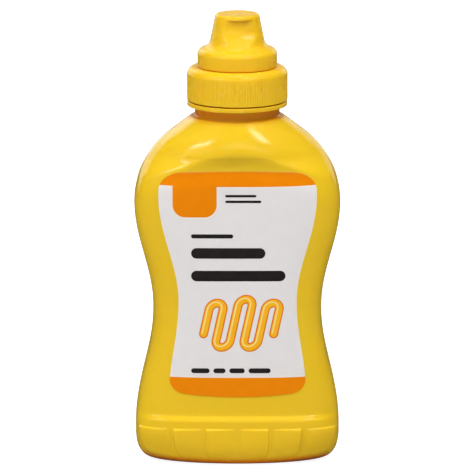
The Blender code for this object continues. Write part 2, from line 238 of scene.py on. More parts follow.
# Fineness of the bottle: columns round it, rows up the foot's rounding, and rows up to each height
FLAT_COLUMN = 0.5
SIDE_COLUMNS = 28
PAD_STEP_COLUMNS = 3
PAD_GAP_COLUMNS = 2
FOOT_ROWS = 22
WALL_ROWS = (
    (PAD_EDGE_Z, 5),
    (PAD_TOP_Z, 6),
    (BUMPER_TOP_Z, 6),
    (LEDGE_TOP_Z, 12),
    (SQUARE_FROM_Z, 60),
    (LIP_Z - 2.4, 20),
    (LIP_Z + 1.0, 34),
    (NECK_ROOT_Z, 30),
    (NECK_Z, 6),
    (NECK_TOP_Z, 6),
)

# Fineness of the closure: sides all the way round, steps of a rounding, longest stretch between rings
INNER_END_RADIUS = 0.5
RING_SIDES = 192
RING_ARC_STEPS = 6
COLLAR_SIDES = 8 * RIB_COUNT
COLLAR_ARC_STEPS = 14
COLLAR_STRETCH = 1.0
LID_SIDES = 256
LID_ARC_STEPS = 10
LID_STRETCH = 0.25
HINGE_ARC_STEPS = 4

# Fineness of the labels and their print
CORNER_STEPS = 12
LABEL_EDGE_STEPS = 24
WAVE_TURN_STEPS = 16
WAVE_STRETCH = 0.6
WAVE_CAP_STEPS = 6

# Edges sharper than these stay sharp in shading
SHARP_DEG = 40.0
PRINT_SHARP_DEG = 60.0

# Distances too small to matter
NEARLY_NOTHING = 1e-9
HAIR = 0.001
CUT_REACH = 1e-5

# Tones of each surface, in linear colour; it varies between the two
BOTTLE_TONES = ((0.89, 0.585, 0.021), (0.87, 0.565, 0.019))
CLOSURE_TONES = ((0.93, 0.572, 0.0165), (0.91, 0.553, 0.0145))
# A deeper orange that the plastic is mixed towards as painted shade, in recesses and up the bottle's
# neck
PAINTED_SHADE_TONE = (0.78, 0.21, 0.001)
STOCK_TONES = ((0.86, 0.79, 0.71), (0.84, 0.77, 0.69))
FIELD_TONES = ((0.795, 0.765, 0.76), (0.775, 0.745, 0.745))
ORANGE_TONES = ((0.87, 0.245, 0.0005), (0.84, 0.231, 0.0004))
INK_TONES = ((0.017, 0.014, 0.014), (0.022, 0.018, 0.018))
BEAD_EDGE_TONES = ((0.80, 0.20, 0.01), (0.77, 0.18, 0.01))
BEAD_GOLD_TONES = ((0.95, 0.48, 0.02), (0.93, 0.44, 0.016))
BEAD_SHINE_TONES = ((0.97, 0.76, 0.25), (0.96, 0.72, 0.22))

# Gloss and depth of each surface; a span is how far roughness strays below and above
BOTTLE_ROUGHNESS = 0.16
CLOSURE_ROUGHNESS = 0.25
PLASTIC_ROUGHNESS_SPAN = (-0.03, 0.04)
PLASTIC_IOR = 1.5
SUBSURFACE_WEIGHT = 0.3
SUBSURFACE_RADIUS = (1.0, 0.4, 0.05)
SUBSURFACE_SCALE = 3.0
STOCK_ROUGHNESS = 0.4
COLOUR_ROUGHNESS = 0.38
PRINT_ROUGHNESS_SPAN = (-0.04, 0.05)
PRINT_IOR = 1.45

# Noises as (features a metre, detail), and bumps as (features a metre, detail, height)
NOISE_MIDDLE = (0.3, 0.7)
CLOUD_NOISE = (28.0, 3.0)
HAZE_NOISE = (160.0, 4.0)
MOTTLE_NOISE = (220.0, 5.0)
GLOSS_NOISE = (420.0, 3.0)
WALL_BUMPS = ((45.0, 2.0, 0.06), (1400.0, 3.0, 0.003))
CAP_BUMPS = ((90.0, 2.0, 0.02), (1800.0, 3.0, 0.003))
PRINT_BUMPS = ((2200.0, 2.0, 0.003), (70.0, 2.0, 0.03))

# Painted shade that deepens the plastic's tone in recesses and up the neck: how near other walls must
# be, and how far they must shut a place in
RECESS_REACH = 5.0
RECESS_OPEN = 0.7
RECESS_SHUT = 0.3
RECESS_SAMPLES = 8
NECK_SHADE_DEPTH = 0.75

# How strongly the print mirrors, as a share of a bare surface at 0.5
PRINT_SHINE = 0.08

# Floor and surroundings: how bright they look to the camera, and to the matt surfaces that they light
FLOOR_GLOW = 0.92
FLOOR_TONE = 0.4
FLOOR_BOUNCE = 0.67
FLOOR_SHINE = 0.04
ROOM_GLOW = 1.0
ROOM_BOUNCE = 0.04

# The floor is a disc just under the base, in metres
FLOOR_RADIUS = 6.0
FLOOR_SIDES = 96
FLOOR_DROP = 0.0001

# Lights, on a sphere round the bottle, in metres; directions are in degrees, 0 in front, 90 to the right
LIGHT_DISTANCE = 2.4
LIGHT_CENTRE = (0.0, 0.0, 0.09)

# Fill boxes, each as (direction round, height above the floor in degrees, watts)
FILL_SIZE = (1.0, 1.0)
FILL_BOXES = (
    (-150.0, 8.0, 18.5),
    (150.0, 8.0, 16.5),
    (180.0, 8.0, 4.0),
    (-60.0, 8.0, 4.7),
    (-30.0, 8.0, 1.9),
    (-75.0, 32.0, 4.0),
    (-60.0, 58.0, 16.3),
    (0.0, 58.0, 31.5),
    (60.0, 58.0, 24.2),
)

# Gloss boxes, each as (direction round, height above the floor in degrees, size, watts)
GLOSS_BOXES = (
    (-44.0, 31.0, (0.92, 0.2), 6.4),
    (33.5, 38.0, (0.52, 0.48), 7.2),
    (-45.0, 18.0, (1.8, 0.4), 1.6),
    (8.0, 18.0, (1.8, 0.4), 2.4),
    (0.0, 85.0, (1.0, 1.0), 6.0),
    (180.0, 11.0, (1.8, 0.8), 2.0),
    (-145.0, 6.0, (1.8, 1.8), 10.4),
    (150.0, 6.0, (1.2, 1.8), 4.6),
    (-150.0, 32.0, (1.0, 1.0), 3.9),
    (-60.0, 58.0, (1.0, 1.0), 3.1),
    (60.0, 58.0, (1.0, 1.0), 5.1),
    (120.0, 58.0, (1.0, 1.0), 1.2),
    (180.0, 58.0, (1.0, 1.0), 2.8),
)

# Camera, in metres, with its lens in millimetres
CAMERA_DISTANCE = 3.0
CAMERA_ELEVATION_DEG = 11.5
CAMERA_AIM = (-0.0001, 0.0, 0.08155)
CAMERA_LENS = 624.0


def ease(t):
    """Rises smoothly from 0 to 1 as t goes from 0 to 1."""
    t = min(1.0, max(0.0, t))
    return t * t * (3.0 - 2.0 * t)


def ramp(value, start, end):
    """The share of the way from start to end, kept between 0 and 1."""
    return min(1.0, max(0.0, (value - start) / (end - start)))


def mix(low, high, share):
    return low + (high - low) * share


def soft_min(first, second, width):
    """The lesser of two depths, blended over a width where they are nearly equal."""
    overlap = max(width - abs(first - second), 0.0) / width
    return min(first, second) - overlap * overlap * width / 4.0


def spread(start, end, count):
    """Values from start to end, without start itself."""
    return [mix(start, end, (i + 1) / count) for i in range(count)]


def half_width(z):
    """Half the bottle's width at a height: base, waist, shoulder arc, straight slope, neck."""
    if z <= WAIST_Z:
        share = ramp(z, FLARE_START_Z, WAIST_Z) ** FLARE_POWER
        return mix(BASE_HALF_WIDTH, WAIST_HALF_WIDTH, (1.0 - math.cos(math.pi * share)) / 2.0)
    if z <= SHOULDER_Z:
        share = ramp(z, WAIST_Z, SHOULDER_Z) ** FLARE_POWER
        return mix(WAIST_HALF_WIDTH, SHOULDER_HALF_WIDTH, (1.0 - math.cos(math.pi * share)) / 2.0)
    if z >= NECK_ROOT_Z:
        share = ease(ramp(z, NECK_ROOT_Z, NECK_Z))
        return mix(half_width(NECK_ROOT_Z - HAIR), NECK_RADIUS, share)
    slope = math.radians(SHOULDER_SLOPE_DEG)
    rise = z - SHOULDER_Z
    arc_rise = SHOULDER_ARC_RADIUS * math.cos(slope)
    if rise <= arc_rise:
        arc_centre = SHOULDER_HALF_WIDTH - SHOULDER_ARC_RADIUS
        return arc_centre + math.sqrt(SHOULDER_ARC_RADIUS**2 - rise**2)
    arc_end = SHOULDER_HALF_WIDTH - SHOULDER_ARC_RADIUS * (1.0 - math.sin(slope))
    return arc_end - (rise - arc_rise) / math.tan(slope)


def half_depth(z):
    """Half the bottle's depth at a height, before the label panels are let in."""
    if z <= LIP_Z:
        return BODY_HALF_DEPTH
    if z >= NECK_ROOT_Z:
        return mix(NECK_ROOT_RADIUS, NECK_RADIUS, ease(ramp(z, NECK_ROOT_Z, NECK_Z)))
    return mix(BODY_HALF_DEPTH, NECK_ROOT_RADIUS, ramp(z, LIP_Z, NECK_ROOT_Z) ** DOME_POWER)


def squareness(z):
    """The exponent of the section's superellipse at a height."""
    if z <= SQUARE_FROM_Z:
        return mix(FOOT_SQUARENESS, BODY_SQUARENESS, ramp(z, 0.0, FLARE_START_Z))
    if z <= LIP_Z:
        return mix(BODY_SQUARENESS, DOME_SQUARENESS, ease(ramp(z, SQUARE_FROM_Z, LIP_Z)))
    return mix(DOME_SQUARENESS, NECK_SQUARENESS, ramp(z, LIP_Z, NECK_ROOT_Z))


def foot_inset(z):
    """How far the wall has drawn in towards the base at a height."""
    share = 1.0 - ramp(z, 0.0, FOOT_HEIGHT)
    return FOOT_INSET * (1.0 - (1.0 - share**FOOT_POWER) ** (1.0 / FOOT_POWER))


def section_share(x, z, power):
    """A section's depth at a distance from its middle, as a share of its depth there."""
    share = min(1.0, abs(x) / half_width(z))
    return (1.0 - share**power) ** (1.0 / power)


def panel_depth(x, z):
    """The depth of the label panel at a place, or a depth beyond the wall below and above it."""
    arched_z = z + LIP_ARCH * x * x
    ledge = 1.0 - ease(ramp(z, BUMPER_TOP_Z, LEDGE_TOP_Z))
    lip = ramp(arched_z, LIP_Z, LIP_FULL_Z) ** LIP_POWER
    panel = PANEL_HALF_DEPTH - PANEL_LEAN * ease(ramp(arched_z, LEAN_FROM_Z, COVE_FROM_Z))
    panel += COVE_RISE * ramp(arched_z, COVE_FROM_Z, LIP_Z) ** 2
    depth = mix(panel, BODY_HALF_DEPTH + PANEL_SOFTNESS, ledge + lip)
    return depth * section_share(x, z, BODY_SQUARENESS)


def let_in(depth, x, z):
    """The wall's depth once the panel is let in; the blend narrows where the wall is shallow."""
    softness = PANEL_SOFTNESS * ramp(depth, 0.0, SHALLOW_DEPTH)
    return soft_min(depth, panel_depth(x, z), softness) if softness > 0.0 else depth


def wall_depth(x, z):
    """The distance of the wall from the middle plane at a place on the front or the back."""
    return let_in(half_depth(z) * section_share(x, z, squareness(z)), x, z)


def pad_rise(x, z):
    """How far a grip pad stands out of the wall at a place."""
    pad = math.floor(x / PAD_PITCH)
    along = x - pad * PAD_PITCH
    if pad >= PADS_PER_SIDE:
        return 0.0
    rise = mix(PAD_INNER_RISE, PAD_OUTER_RISE, ramp(along, PAD_START, PAD_END))
    rise *= ease(ramp(along, PAD_START - PAD_STEP, PAD_START))
    rise *= 1.0 - ease(ramp(along, PAD_END, PAD_END + PAD_STEP))
    rise *= ease(ramp(z, PAD_FOOT_Z, PAD_FULL_Z))
    return rise * (1.0 - ease(ramp(z, PAD_EDGE_Z, PAD_TOP_Z)))


def section_angle(x):
    """The section's own angle for a distance from the middle, at the height of the pads."""
    share = x / BASE_HALF_WIDTH
    across = (1.0 - share**BODY_SQUARENESS) ** (1.0 / BODY_SQUARENESS)
    return math.atan2(across, share)


def pad_columns():
    """Distances from the middle of the columns over the pads, closer together at the pads' edges."""
    columns = []
    flat_columns = round((PAD_END - PAD_START) / FLAT_COLUMN)
    for pad in range(PADS_PER_SIDE):
        start = pad * PAD_PITCH
        columns += spread(start, start + PAD_START - PAD_STEP, PAD_GAP_COLUMNS)
        columns += spread(start + PAD_START - PAD_STEP, start + PAD_START, PAD_STEP_COLUMNS)
        columns += spread(start + PAD_START, start + PAD_END, flat_columns)
        columns += spread(start + PAD_END, start + PAD_END + PAD_STEP, PAD_STEP_COLUMNS)
        columns += spread(start + PAD_END + PAD_STEP, start + PAD_PITCH, PAD_GAP_COLUMNS)[:1]
    return columns


def full_stations():
    """Pairs of section angle and distance at the pads' height, all the way round the bottle."""
    over_pads = [(section_angle(x), x) for x in reversed(pad_columns())]
    corner = over_pads[0][0]
    seam = [SEAM_HALF_WIDTH / BODY_HALF_DEPTH * share for share in (0.0, 0.5, 1.0)]
    side = [(angle, None) for angle in seam]
    side += [(angle, None) for angle in spread(seam[-1], corner, SIDE_COLUMNS)[:-1]]
    quarter = side + over_pads
    half = quarter + [(math.pi / 2.0, 0.0)]
    half += [(math.pi - angle, x) for angle, x in reversed(quarter)][:-1]
    return half + [(angle + math.pi, x) for angle, x in half]


def wall_ring(z, stations):
    """One ring of points round the bottle at a height."""
    inset = foot_inset(z)
    width = half_width(z) - inset
    depth = half_depth(z) - inset
    power = squareness(z)
    ring = []
    for angle, pad_x in stations:
        cosine = math.cos(angle)
        sine = math.sin(angle)
        radius = (abs(cosine) ** power + abs(sine) ** power) ** (-1.0 / power)
        x = width * radius * cosine
        across = depth * radius * abs(sine)
        y = math.copysign(let_in(across, x, z), sine) if abs(sine) > NEARLY_NOTHING else 0.0
        if pad_x is not None:
            outwards = (abs(cosine) ** (power - 1.0) / width, abs(sine) ** (power - 1.0) / depth)
            normal = Vector(outwards).normalized()
            rise = pad_rise(pad_x, z)
            x += math.copysign(normal.x * rise, cosine)
            y += math.copysign(normal.y * rise, sine)
        seam = SEAM_HEIGHT * (1.0 - ease(ramp(across, 0.0, SEAM_HALF_WIDTH)))
        x += math.copysign(seam, cosine)
        ring.append((x, y, z))
    return ring


def wall_heights():
    """The heights of the bottle's rings, closer together where the wall turns."""
    turns = [math.pi / 2.0 * i / FOOT_ROWS for i in range(FOOT_ROWS + 1)]
    heights = [FOOT_HEIGHT * (1.0 - math.cos(turn)) for turn in turns]
    start = FOOT_HEIGHT
    for end, rows in WALL_ROWS:
        heights += spread(start, end, rows)
        start = end
    return heights


def shade_round(piece, sharp_deg=SHARP_DEG):
    """Smooth shading, apart from edges sharper than an angle."""
    piece.data.shade_smooth()
    piece.data.set_sharp_from_angle(angle=math.radians(sharp_deg))


def finish_piece(name, mesh, material, replaced):
    """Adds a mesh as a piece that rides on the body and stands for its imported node."""
    mesh.materials.append(material)
    piece = bpy.data.objects.new(name, mesh)
    bpy.context.scene.collection.objects.link(piece)
    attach(piece, "root")
    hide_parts(replaced)
    return piece


def mesh_from_rings(name, rings, closed=True):
    """A skin over rings of equal count, low to high, with flat ends where it is closed."""
    count = len(rings[0])
    points = [Vector(point) * MM for ring in rings for point in ring]
    faces = []
    for row in range(len(rings) - 1):
        for i in range(count):
            low = row * count
            j = (i + 1) % count
            faces.append((low + i, low + j, low + count + j, low + count + i))
    if closed:
        faces.append(tuple(reversed(range(count))))
        faces.append(tuple(range(len(points) - count, len(points))))
    mesh = bpy.data.meshes.new(name)
    mesh.from_pydata(points, [], faces)
    return mesh


def base_rings(stations):
    """Rings under the base, from the middle of its hollow to the rim that it stands on."""
    rim = wall_ring(0.0, stations)
    rings = []
    for inset, z in BASE_RINGS:
        share = 1.0 - inset / (BASE_HALF_WIDTH - FOOT_INSET)
        rings.append([(x * share, y * share, z) for x, y, _ in rim])
    return rings


def make_bottle(material):
    """The blown body, from the hollow under its base to the top of its neck."""
    stations = full_stations()
    rings = base_rings(stations) + [wall_ring(z, stations) for z in wall_heights()]
    mesh = mesh_from_rings("bottle_skin", rings)
    bottle = finish_piece("bottle_skin", mesh, material, "bottle")
    shade_round(bottle)


def rounded_profile(corners, steps):
    """Points along a line through corners (radius, height, rounding), each rounded by an arc."""
    points = []
    for i, (radius, height, rounding) in enumerate(corners):
        here = Vector((radius, height))
        if rounding == 0.0:
            points.append(here)
            continue
        before = (Vector(corners[i - 1][:2]) - here).normalized()
        after = (Vector(corners[i + 1][:2]) - here).normalized()
        half_angle = before.angle(after) / 2.0
        centre = here + (before + after).normalized() * rounding / math.sin(half_angle)
        start = here + before * rounding / math.tan(half_angle) - centre
        end = here + after * rounding / math.tan(half_angle) - centre
        sweep = start.angle_signed(end)
        for step in range(steps + 1):
            points.append(centre + Matrix.Rotation(-sweep * step / steps, 2) @ start)
    return points


def densify(profile, longest):
    """Adds points to a profile so that none of its stretches is longer than given."""
    dense = [profile[0]]
    for here, following in zip(profile, profile[1:]):
        count = max(1, math.ceil((following - here).length / longest))
        dense += [here.lerp(following, (i + 1) / count) for i in range(count)]
    return dense


def turned_rings(profile, sides, shape=None):
    """A turned piece's rings, low to high; shape(x, y, angle, height) may move a point."""
    turn = math.radians(CLOSURE_TURN_DEG)
    rings = []
    for radius, height in profile:
        ring = []
        for i in range(sides):
            angle = math.tau * i / sides
            x = radius * math.cos(angle)
            y = radius * math.sin(angle)
            if shape is not None:
                x, y = shape(x, y, angle, height)
            turned_x = x * math.cos(turn) - y * math.sin(turn)
            turned_y = x * math.sin(turn) + y * math.cos(turn)
            ring.append((turned_x, turned_y, height))
        rings.append(ring)
    return rings


def make_tamper_ring(material):
    """The breakable band left under the collar."""
    corners = [
        (RING_INNER_RADIUS, RING_LOW.z, 0.0),
        (RING_RADIUS, RING_LOW.z, RING_ROUNDING),
        (RING_RADIUS, RING_HIGH.z, RING_ROUNDING),
        (RING_INNER_RADIUS, RING_HIGH.z, 0.0),
        (RING_INNER_RADIUS, RING_LOW.z, 0.0),
    ]
    profile = rounded_profile(corners, RING_ARC_STEPS)
    mesh = mesh_from_rings("tamper_band", turned_rings(profile, RING_SIDES), closed=False)
    band = finish_piece("tamper_band", mesh, material, "tamper_ring")
    shade_round(band)


def ribbed(x, y, angle, z):
    """Moves a point of the collar's side in where it lies in a groove between two ribs."""
    on_side = ramp(math.hypot(x, y), COLLAR_RADIUS - RIB_SIDE_REACH, COLLAR_RADIUS)
    along = ramp(z, RIB_BOTTOM_Z - RIB_FADE, RIB_BOTTOM_Z)
    along *= 1.0 - ramp(z, RIB_TOP_Z, RIB_TOP_Z + RIB_FADE)
    groove = (1.0 - math.cos(RIB_COUNT * angle)) / 2.0
    share = 1.0 - RIB_DEPTH * groove * on_side * ease(along) / COLLAR_RADIUS
    return x * share, y * share


def make_collar(material):
    """The screw collar, with fine grip ribs round its side."""
    corners = [
        (INNER_END_RADIUS, COLLAR_LOW.z, 0.0),
        (COLLAR_RADIUS, COLLAR_LOW.z, COLLAR_EDGE_ROUNDING),
        (COLLAR_RADIUS, COLLAR_HIGH.z, COLLAR_ROUNDING),
        (INNER_END_RADIUS, COLLAR_HIGH.z, 0.0),
    ]
    profile = densify(rounded_profile(corners, COLLAR_ARC_STEPS), COLLAR_STRETCH)
    mesh = mesh_from_rings("screw_collar", turned_rings(profile, COLLAR_SIDES, ribbed))
    collar = finish_piece("screw_collar", mesh, material, "collar")
    shade_round(collar)


def scooped(x, y, angle, z):
    """Moves a point of the lid's front back where the thumb scoop takes it away."""
    drop = SCOOP_AXIS_Z - z
    if y > 0.0 or z > SCOOP_TOP_Z or drop > SCOOP_RADIUS:
        return x, y
    sweep = SCOOP_RADIUS - math.sqrt(SCOOP_RADIUS**2 - max(drop, 0.0) ** 2)
    limit = sweep - SCOOP_DEPTH_Y - x * x / (2.0 * SCOOP_FLATNESS)
    return x, -soft_min(-y, limit, SCOOP_SOFTNESS)


def lid_profile():
    """The lid's outline from near the middle of its underside to near the middle of its top."""
    corners = [
        (INNER_END_RADIUS, LID_BOTTOM_Z, 0.0),
        (DRUM_RADIUS, LID_BOTTOM_Z, DRUM_EDGE_ROUNDING),
        (DRUM_RADIUS, DRUM_TOP_Z, DRUM_ROUNDING),
        (SPOUT_ROOT_RADIUS, SPOUT_ROOT_Z, SPOUT_ROOT_ROUNDING),
        (SPOUT_TOP_RADIUS, TOTAL_HEIGHT, SPOUT_TOP_ROUNDING),
        (INNER_END_RADIUS, TOTAL_HEIGHT, 0.0),
    ]
    return densify(rounded_profile(corners, LID_ARC_STEPS), LID_STRETCH)


def make_lid(material):
    """The shut flip lid: a drum that runs up into a spout cover, with a scoop for the thumb."""
    mesh = mesh_from_rings("flip_lid", turned_rings(lid_profile(), LID_SIDES, scooped))
    lid = finish_piece("flip_lid", mesh, material, "lid")
    shade_round(lid)


def make_hinge(material):
    """The moulded hinge behind the lid, as a plain block."""
    size = Vector((HINGE_WIDTH, HINGE_REACH - HINGE_ROOT, HINGE_HEIGHT)) * MM
    middle_y = (HINGE_REACH + HINGE_ROOT) / 2.0
    middle = Vector((0.0, middle_y, LID_LOW.z + HINGE_HEIGHT / 2.0)) * MM
    turn = Matrix.Rotation(math.radians(CLOSURE_TURN_DEG), 4, "Z")
    place = turn @ Matrix.Translation(middle) @ Matrix.Diagonal((*size, 1.0))
    bm = bmesh.new()
    bmesh.ops.create_cube(bm, size=1.0, matrix=place)
    mesh = bpy.data.meshes.new("hinge_block")
    bm.to_mesh(mesh)
    bm.free()
    hinge = finish_piece("hinge_block", mesh, material, "lid")
    bevel = hinge.modifiers.new("soft edges", "BEVEL")
    bevel.width = HINGE_ROUNDING * MM
    bevel.segments = HINGE_ARC_STEPS
    shade_round(hinge)


def label_half_width(z):
    """Half the label's width at a height, before its corners are rounded."""
    if z >= LABEL_WAIST_Z:
        share = ramp(z, LABEL_WAIST_Z, LABEL_WIDE_Z)
        widest = LABEL_TOP_HALF_WIDTH
    else:
        share = 1.0 - ramp(z, LABEL_BOTTOM_Z, LABEL_WAIST_Z)
        widest = LABEL_FOOT_HALF_WIDTH
    return mix(LABEL_WAIST_HALF_WIDTH, widest, (1.0 - math.cos(math.pi * share)) / 2.0)


def corner_arc(centre, radii, start_deg, end_deg, steps=CORNER_STEPS):
    """Points on an elliptical arc, both ends included."""
    turns = [math.radians(mix(start_deg, end_deg, i / steps)) for i in range(steps + 1)]
    return [
        (centre[0] + radii[0] * math.cos(turn), centre[1] + radii[1] * math.sin(turn))
        for turn in turns
    ]


def label_side(low_z, high_z, inset=0.0):
    """The label's right edge between two heights, going up."""
    count = max(1, math.ceil((high_z - low_z) / LABEL_GRID))
    return [(label_half_width(z) - inset, z) for z in [low_z] + spread(low_z, high_z, count)]


def mirrored(points):
    """The same points on the other side of the middle, in the other order."""
    return [(-x, z) for x, z in reversed(points)]


def label_top(low_z):
    """The label's upper edge from its right side at a height, over the top, to its left side."""
    width, height = LABEL_TOP_CORNER
    corner_z = LABEL_TOP_Z - LABEL_TOP_SAG * (LABEL_TOP_HALF_WIDTH - width) ** 2 - height
    middle = (LABEL_TOP_HALF_WIDTH - width, corner_z)
    right = label_side(low_z, corner_z)[:-1] if low_z < corner_z else []
    lowest = math.degrees(math.asin(ramp(low_z, corner_z, corner_z + height)))
    right += corner_arc(middle, LABEL_TOP_CORNER, lowest, 90.0)
    reach = right[-1][0]
    xs = spread(reach, -reach, LABEL_EDGE_STEPS)[:-1]
    crown = [(x, LABEL_TOP_Z - LABEL_TOP_SAG * x * x) for x in xs]
    return right + crown + mirrored(right)


def label_bottom(high_z):
    """The label's lower edge from its left side at a height, along the bottom, to its right side."""
    width, height = LABEL_BOTTOM_CORNER
    corner_z = LABEL_BOTTOM_Z + LABEL_BOTTOM_SAG * (LABEL_FOOT_HALF_WIDTH - width) ** 2 + height
    middle = (label_half_width(corner_z) - width, corner_z)
    right = corner_arc(middle, LABEL_BOTTOM_CORNER, -90.0, 0.0)
    if high_z > corner_z:
        right += label_side(corner_z, high_z)[1:]
    reach = right[0][0]
    xs = spread(-reach, reach, LABEL_EDGE_STEPS)[:-1]
    keel = [(x, LABEL_BOTTOM_Z + LABEL_BOTTOM_SAG * x * x) for x in xs]
    return mirrored(right) + keel + right


def label_outline():
    return label_bottom(LABEL_HALVES_MEET_Z) + label_top(LABEL_HALVES_MEET_Z)[1:-1]


def tab_outline(margin=0.0):
    """The tab under the top band, from its left side round to its right side, grown by a margin."""
    left = TAB_LEFT - margin
    right = TAB_RIGHT + margin
    bottom = TAB_BOTTOM_Z - margin
    rounding = TAB_ROUNDING + margin
    points = corner_arc((left + rounding, bottom + rounding), (rounding, rounding), 180.0, 270.0)
    points += corner_arc((right - rounding, bottom + rounding), (rounding, rounding), 270.0, 360.0)
    return points


def band_edge(edge_z, curve, start, end, offset=0.0):
    """A band's edge that runs across the field, from one distance to another, rising to its ends."""
    count = max(1, math.ceil(abs(end - start)))
    xs = [start] + spread(start, end, count)
    return [(x, edge_z + offset + curve * x * x) for x in xs]


def top_edge(start, end, offset=0.0):
    return band_edge(TOP_BAND_Z, TOP_BAND_CURVE, start, end, offset)


def bottom_edge(start, end, offset=0.0):
    return band_edge(BOTTOM_BAND_Z, BOTTOM_BAND_CURVE, start, end, offset)


def side_reach(edge_z, curve, inset=0.0):
    """Where a band's edge meets the label's side, as a distance from the middle and a height."""
    reach = label_half_width(edge_z)
    z = edge_z + curve * reach * reach
    return label_half_width(z) - inset, z


def top_band_outline(tabbed=True):
    """The band along the label's top, with the tab that hangs from it on the front."""
    reach, side_z = side_reach(TOP_BAND_Z, TOP_BAND_CURVE)
    outline = label_top(side_z)
    if not tabbed:
        return outline + top_edge(-reach, reach)[1:-1]
    tab = tab_outline()
    return outline + top_edge(-reach, tab[0][0])[1:] + tab + top_edge(tab[-1][0], reach)[:-1]


def bottom_band_outline():
    """The band along the label's bottom."""
    reach, side_z = side_reach(BOTTOM_BAND_Z, BOTTOM_BAND_CURVE)
    return label_bottom(side_z) + bottom_edge(reach, -reach)[1:-1]


def field_outline(tabbed=True):
    """The pale field between the bands, a keyline's width inside them and the label's sides."""
    low_reach, low_z = side_reach(BOTTOM_BAND_Z, BOTTOM_BAND_CURVE, KEYLINE)
    high_reach, high_z = side_reach(TOP_BAND_Z, TOP_BAND_CURVE, KEYLINE)
    side = label_side(low_z + KEYLINE, high_z - KEYLINE, KEYLINE)
    across = top_edge(high_reach, -high_reach, -KEYLINE)[1:-1]
    if tabbed:
        tab = tab_outline(KEYLINE)
        across = top_edge(high_reach, tab[-1][0], -KEYLINE)[1:] + list(reversed(tab))
        across += top_edge(tab[0][0], -high_reach, -KEYLINE)[:-1]
    return side + across + mirrored(side) + bottom_edge(-low_reach, low_reach, KEYLINE)[1:-1]


def bar_outline(left, right, middle_z, height):
    """A bar with round ends."""
    radius = height / 2.0
    points = corner_arc((left + radius, middle_z), (radius, radius), 90.0, 270.0)
    return points + corner_arc((right - radius, middle_z), (radius, radius), -90.0, 90.0)


def wave_path():
    """The middle line of the wavy bead: upright runs joined by half circles, then slanted."""
    middle_x, middle_z = WAVE_CENTRE
    last = WAVE_RUNS - 1
    radius = WAVE_PITCH / 2.0
    xs = [(i - last / 2.0) * WAVE_PITCH for i in range(WAVE_RUNS)]
    spare_width = WAVE_PITCH * (WAVE_RUNS + WAVE_SPARE_RUNS)
    reach = [WAVE_HALF_HEIGHT * math.sqrt(1.0 - (2.0 * x / spare_width) ** 2) for x in xs]
    points = [(xs[0], -reach[0] * WAVE_END_SHARE)]
    for i in range(last):
        side = 1.0 if i % 2 == 0 else -1.0
        turn_z = side * ((reach[i] + reach[i + 1]) / 2.0 - radius)
        middle = ((xs[i] + xs[i + 1]) / 2.0, turn_z)
        points += corner_arc(middle, (radius, side * radius), 180.0, 0.0, WAVE_TURN_STEPS)
    end_side = 1.0 if last % 2 == 0 else -1.0
    points.append((xs[last], end_side * reach[last] * WAVE_END_SHARE))
    path = densify([Vector(point) for point in points], WAVE_STRETCH)
    return [Vector((middle_x + p.x + WAVE_SLANT * p.y, middle_z + p.y)) for p in path]


def ribbon_edges(path, width):
    """The left and right edge of a band of a width along a path."""
    half = width / 2.0
    left = []
    right = []
    for i, here in enumerate(path):
        before = path[max(0, i - 1)]
        after = path[min(len(path) - 1, i + 1)]
        along = (after - before).normalized()
        across = Vector((-along.y, along.x)) * half
        left.append(here + across)
        right.append(here - across)
    return left, right


def ribbon_mesh_points(path, width):
    """Rows of three points across a band: left edge, middle, right edge, closed by round ends."""
    left, right = ribbon_edges(path, width)
    rows = [list(row) for row in zip(left, path, right)]
    caps = []
    for end, inner in ((0, 1), (-1, -2)):
        out = (path[end] - path[inner]).normalized()
        across = left[end] - path[end]
        cap = []
        for i in range(1, WAVE_CAP_STEPS):
            turn = math.pi / 2.0 * i / WAVE_CAP_STEPS
            middle = path[end] + out * (width / 2.0) * math.sin(turn)
            side = across * math.cos(turn)
            cap.append([middle + side, middle, middle - side])
        caps.append(cap)
    return list(reversed(caps[0])) + rows + caps[1]


def wall_point(x, z, lift, facing):
    """A place on the wall's front (facing -1) or back (facing 1), lifted off it, in metres."""
    return Vector((x + LABEL_SHIFT, facing * (wall_depth(x + LABEL_SHIFT, z) + lift), z)) * MM


def layer_mesh(name, bm, lift, thickness, facing):
    """Lays a flat drawing in the XZ plane on the wall as a thin closed sheet."""
    for vertex in bm.verts:
        vertex.co = wall_point(vertex.co.x, vertex.co.z, lift, facing)
    bm.normal_update()
    turned = [face for face in bm.faces if face.normal.y * facing < 0.0]
    bmesh.ops.reverse_faces(bm, faces=turned)
    extruded = bmesh.ops.extrude_face_region(bm, geom=bm.faces[:])
    outer = [item for item in extruded["geom"] if isinstance(item, bmesh.types.BMVert)]
    for vertex in outer:
        vertex.co.y += facing * thickness * MM
    bmesh.ops.recalc_face_normals(bm, faces=bm.faces[:])
    mesh = bpy.data.meshes.new(name)
    bm.to_mesh(mesh)
    bm.free()
    return mesh


def drawn_mesh(name, outlines, lift, thickness, facing):
    """A thin sheet on the wall, with the given outlines of points (x, z), cut by a grid to bend."""
    bm = bmesh.new()
    for outline in outlines:
        bm.faces.new([bm.verts.new((x, 0.0, z)) for x, z in outline])
    for axis in (0, 2):
        low = min(vertex.co[axis] for vertex in bm.verts)
        high = max(vertex.co[axis] for vertex in bm.verts)
        normal = [0.0, 0.0, 0.0]
        normal[axis] = 1.0
        for i in range(math.ceil(low / LABEL_GRID), math.floor(high / LABEL_GRID) + 1):
            place = [0.0, 0.0, 0.0]
            place[axis] = i * LABEL_GRID
            geometry = bm.verts[:] + bm.edges[:] + bm.faces[:]
            bmesh.ops.bisect_plane(bm, geom=geometry, dist=CUT_REACH, plane_co=place, plane_no=normal)
    bmesh.ops.triangulate(bm, faces=bm.faces[:])
    return layer_mesh(name, bm, lift, thickness, facing)


